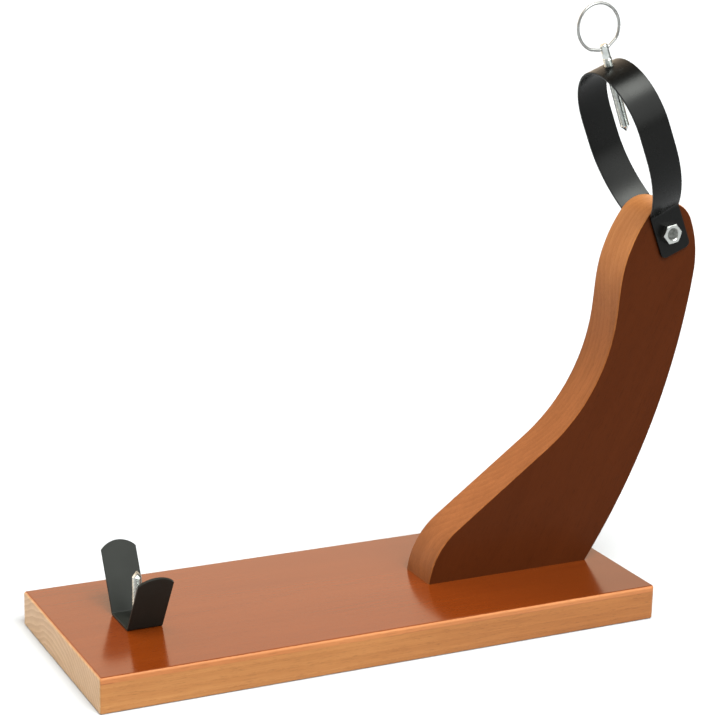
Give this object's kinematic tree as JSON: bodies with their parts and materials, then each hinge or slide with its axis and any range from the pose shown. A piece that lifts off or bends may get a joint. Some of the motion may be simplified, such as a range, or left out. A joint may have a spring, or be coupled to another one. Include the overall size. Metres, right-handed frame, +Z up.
{
  "type": "ham holder",
  "caption": "Table-top ham holder: wooden base board with a winged rest and spike at one end and a curved arm with a pivoted clamping hoop at the other.",
  "frame": {"origin": "centre of the base board's underside", "axes": "+Z up, +X along the board from the rest towards the arm, -Y towards the side where the pivot bolt's head is"},
  "size_m": [0.5756, 0.195, 0.5191],
  "materials": {
    "board_wood": "stained and varnished, glossy top",
    "arm_wood": "stained and varnished, glossy",
    "dowel_wood": "raw beech",
    "black_steel": "black enamel, satin",
    "zinc_steel": "bright zinc plate",
    "ring_steel": "nickel-plated wire",
    "nylon": "natural nylon"
  },
  "bodies": {
    "stand": {"base_board": "board_wood", "upright_arm": "arm_wood", "arm_dowels": "dowel_wood", "arm_screws": "zinc_steel", "front_rest": "black_steel", "rest_spike": "zinc_steel", "spike_washer": "zinc_steel", "spike_nut": "zinc_steel", "pivot_bolt": "zinc_steel", "pivot_washer": "zinc_steel", "pivot_nut": "zinc_steel", "nut_insert": "nylon"},
    "hoop": {"hoop_strap": "black_steel", "hoop_nut": "black_steel"},
    "screw": {"clamp_screw": "zinc_steel"},
    "ring": {"pull_ring": "ring_steel"}
  },
  "joints": [
    {"name": "hoop_pivot", "type": "hinge", "parent": "stand", "child": "hoop", "pos_m": [0.2932, 0, 0.322], "axis": [0, 1, 0], "range_deg": [-75, 120]},
    {"name": "clamp_travel", "type": "slide", "parent": "hoop", "child": "screw", "axis": [0.3502, 0, -0.9367], "range_m": [-0.045, 0.012]},
    {"name": "ring_swing", "type": "hinge", "parent": "screw", "child": "ring", "pos_m": [0.23212, 0, 0.48002], "axis": [0.9367, 0, 0.3502], "range_deg": [-90, 90]}
  ]
}
